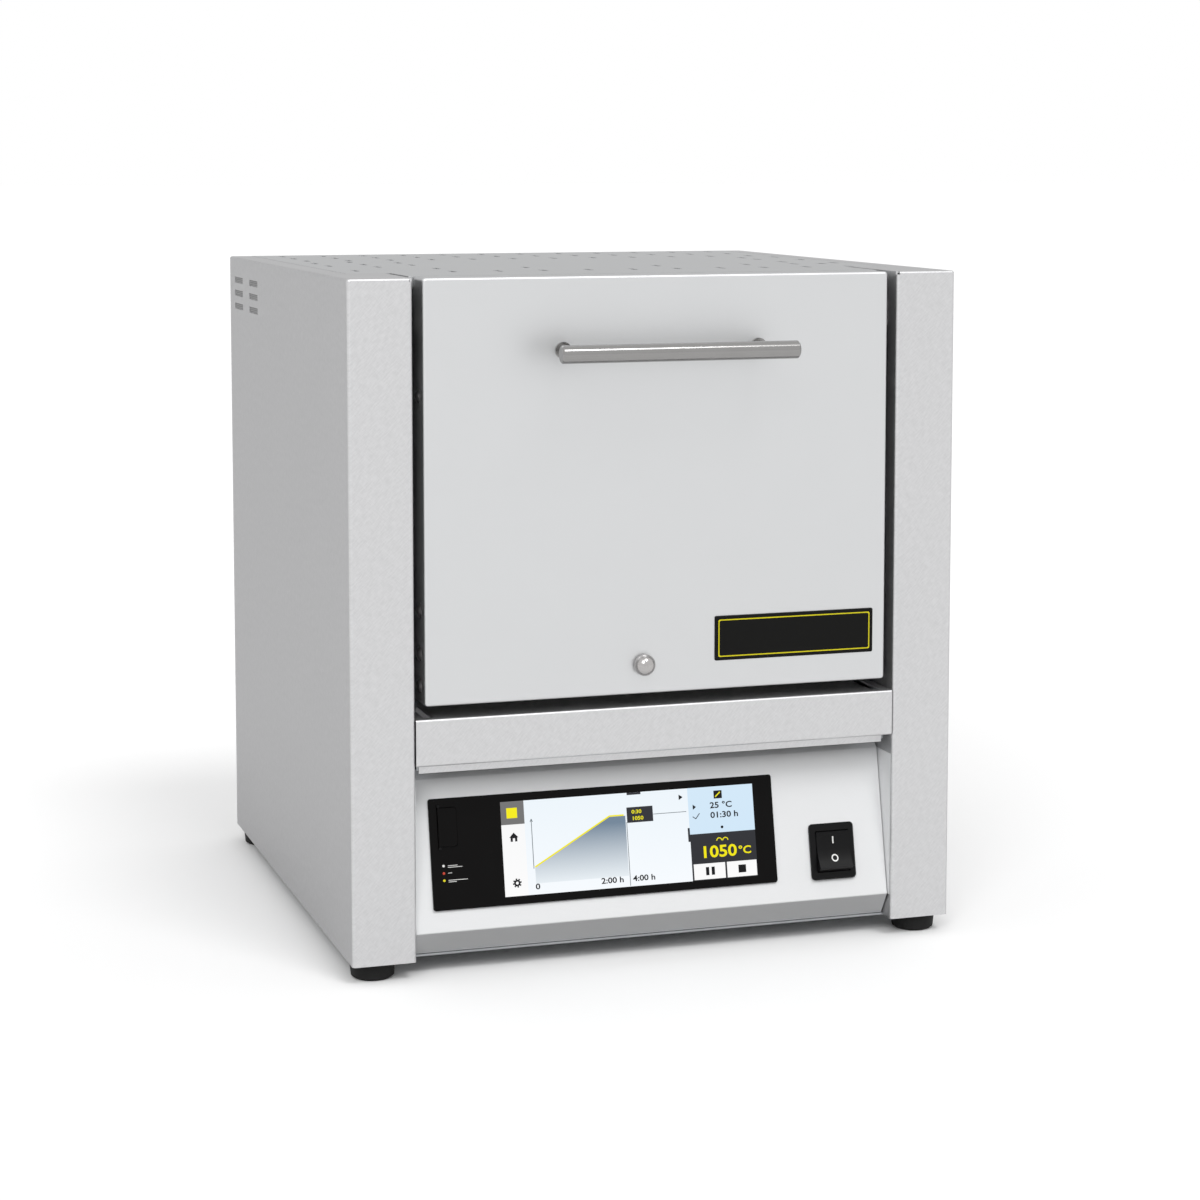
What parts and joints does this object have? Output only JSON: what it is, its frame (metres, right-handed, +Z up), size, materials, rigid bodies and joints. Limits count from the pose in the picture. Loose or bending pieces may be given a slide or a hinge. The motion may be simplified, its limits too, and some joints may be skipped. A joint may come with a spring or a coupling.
{
  "type": "muffle furnace",
  "caption": "Bench muffle furnace with a fold-down insulated door, ceramic heated chamber, touch control panel, rocker switch and rear exhaust spigot.",
  "frame": {"origin": "middle of the outline on the surface that the feet stand on", "axes": "+Z up, +X to the right when facing the door, -Y towards the operator in front of the door"},
  "size_m": [0.385, 0.4316, 0.419],
  "materials": {
    "textured_steel": "embossed matt stainless",
    "satin_steel": "fine satin stainless",
    "plain_steel": "mill finish steel",
    "bright_steel": "polished",
    "powder_grey": "smooth satin light grey",
    "black_glass": "glossy black",
    "black_plastic": "satin black",
    "grey_plastic": "matt",
    "rubber": "matt black",
    "fibre_board": "matt fibrous white",
    "fire_brick": "matt porous cream",
    "heater_ceramic": "matt cast ceramic",
    "aluminium": "as extruded"
  },
  "bodies": {
    "housing": {"base_pan": "plain_steel", "casing_rails": "plain_steel", "collar_brick": "fire_brick", "control_fascia": "powder_grey", "controller_housing": "grey_plastic", "display_glass": "black_glass", "display_module": "black_plastic", "door_catches": "plain_steel", "door_contact": "black_plastic", "exhaust_liner": "heater_ceramic", "exhaust_spigot": "plain_steel", "floor_insulation": "fibre_board", "foot_screws": "plain_steel", "front_frame": "plain_steel", "hearth_plate": "heater_ceramic", "heat_sink": "aluminium", "heater_terminals": "plain_steel", "heating_plate_left": "heater_ceramic", "heating_plate_right": "heater_ceramic", "hinge_brackets": "plain_steel", "hinge_pins": "plain_steel", "mains_inlet": "black_plastic", "mid_deck": "plain_steel", "muffle_casing": "plain_steel", "power_relay": "black_plastic", "power_supply": "grey_plastic", "rear_insulation": "fibre_board", "rear_panel": "satin_steel", "rear_screws": "bright_steel", "roof_insulation": "fibre_board", "rubber_feet": "rubber", "side_insulation_left": "fibre_board", "side_insulation_right": "fibre_board", "side_panel_left": "textured_steel", "side_panel_right": "textured_steel", "sill_ledge": "textured_steel", "switch_housing": "black_plastic", "terminal_block": "grey_plastic", "terminal_sleeves": "heater_ceramic", "thermocouple_head": "grey_plastic", "thermocouple_sheath": "heater_ceramic", "top_cover": "satin_steel", "top_rails": "plain_steel", "usb_hinge": "black_plastic", "usb_socket": "plain_steel"},
    "door": {"door_shell": "satin_steel", "door_tray": "plain_steel", "door_insulation": "fibre_board", "door_screws": "bright_steel", "handle_bar": "satin_steel", "handle_standoffs": "satin_steel", "air_guide": "plain_steel", "hinge_arm_left": "plain_steel", "hinge_arm_right": "plain_steel", "door_magnet": "plain_steel"},
    "air_inlet": {"air_knob": "bright_steel", "air_damper": "plain_steel"},
    "rocker": {"switch_rocker": "black_plastic"},
    "flap": {"usb_flap": "black_glass"}
  },
  "joints": [
    {"name": "door_hinge", "type": "hinge", "parent": "housing", "child": "door", "pos_m": [0, -0.1564, 0.136], "axis": [1, 0, 0], "range_deg": [0, 90]},
    {"name": "air_slide", "type": "slide", "parent": "door", "child": "air_inlet", "axis": [0, -1, 0], "range_m": [0, 0.01]},
    {"name": "switch_rock", "type": "hinge", "parent": "housing", "child": "rocker", "pos_m": [0.1171, -0.16461, 0.05548], "axis": [1, 0, 0], "range_deg": [0, 20]},
    {"name": "usb_flap_hinge", "type": "hinge", "parent": "housing", "child": "flap", "pos_m": [-0.13575, -0.15984, 0.0882], "axis": [0, -0.2039, -0.979], "range_deg": [0, 120]}
  ]
}
